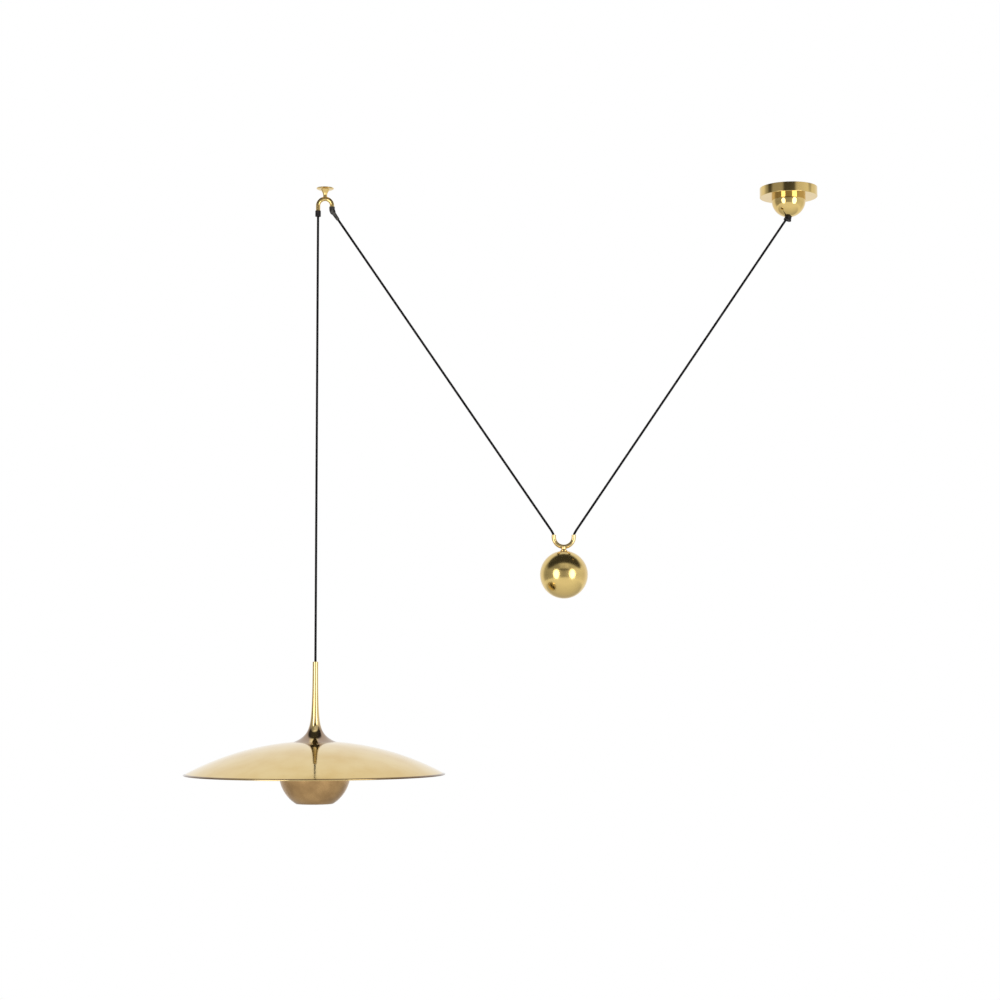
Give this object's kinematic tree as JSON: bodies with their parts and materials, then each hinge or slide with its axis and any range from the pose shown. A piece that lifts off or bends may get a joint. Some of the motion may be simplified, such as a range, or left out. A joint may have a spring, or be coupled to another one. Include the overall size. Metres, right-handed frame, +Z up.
{
  "type": "pendant lamp",
  "caption": "Rise-and-fall pendant lamp: a wide brass dish shade with a bowl under it, hung by a cord over a ceiling hook and balanced by a ball that rides on the cord.",
  "frame": {"origin": "on the ceiling, at the middle of the canopy bracket's two screw holes", "axes": "+Z up into the ceiling, -X from the canopy to the hook and the lamp, +Y across the cord's plane"},
  "size_m": [1.354, 0.55, 1.3176],
  "materials": {
    "polished_brass": "mirror polished",
    "satin_brass": "satin, a little darkened",
    "turned_brass": "turned, unpolished",
    "zinc_steel": "zinc plated",
    "black_rubber": "matt, moulded",
    "black_plastic": "moulded",
    "wire_insulation": "smooth",
    "ceramic": "unglazed",
    "textile_cord": "braided",
    "bulb_metal": "rolled thread",
    "bulb_glass": "frosted inside"
  },
  "bodies": {
    "ceiling_fittings": {"canopy_bracket": "zinc_steel", "canopy_pipe": "turned_brass", "canopy_nuts": "turned_brass", "canopy_pan": "polished_brass", "canopy_dome": "polished_brass", "canopy_cord_grip": "black_rubber", "canopy_cord_stop": "turned_brass", "supply_wires": "wire_insulation", "terminal_block": "ceramic", "terminal_screws": "zinc_steel", "hook_rosette": "polished_brass", "hook_stem": "polished_brass", "hook_tube": "polished_brass", "hook_sleeve_drop": "black_rubber", "hook_sleeve_leg": "black_rubber", "cord_in_canopy": "textile_cord", "cord_right_leg": "textile_cord", "cord_left_leg": "textile_cord", "cord_in_hook": "textile_cord", "cord_drop": "textile_cord"},
    "counterweight": {"guide_tube": "polished_brass", "weight_neck": "polished_brass", "weight_ball": "polished_brass", "cord_in_guide": "textile_cord"},
    "lamp": {"stem_trumpet": "polished_brass", "stem_bush": "black_plastic", "stem_cord_stop": "turned_brass", "cord_in_stem": "textile_cord", "centre_pipe": "turned_brass", "shade": "polished_brass", "shade_washer": "zinc_steel", "shade_nut": "zinc_steel", "bowl_carrier": "zinc_steel", "bowl": "satin_brass", "bowl_screws": "zinc_steel", "lampholder_cap": "black_plastic", "lampholder_core": "ceramic", "lampholder_skirt": "black_plastic", "lampholder_contact": "turned_brass", "bulb_contact": "turned_brass", "bulb_cap": "bulb_metal", "bulb_glass": "bulb_glass"}
  },
  "joints": [
    {"name": "lamp_lift", "type": "slide", "parent": "ceiling_fittings", "child": "lamp", "axis": [0, 0, 1], "range_m": [-0.3, 0.45], "deforming": ["cord_drop"]},
    {"name": "counterweight_travel", "type": "slide", "parent": "ceiling_fittings", "child": "counterweight", "axis": [0, 0, 1], "range_m": [-0.2725, 0.182], "deforming": ["cord_left_leg", "cord_right_leg"]}
  ],
  "couplings": [
    {"joint": "counterweight_travel", "follows": "lamp_lift", "ratio": -0.6045}
  ]
}
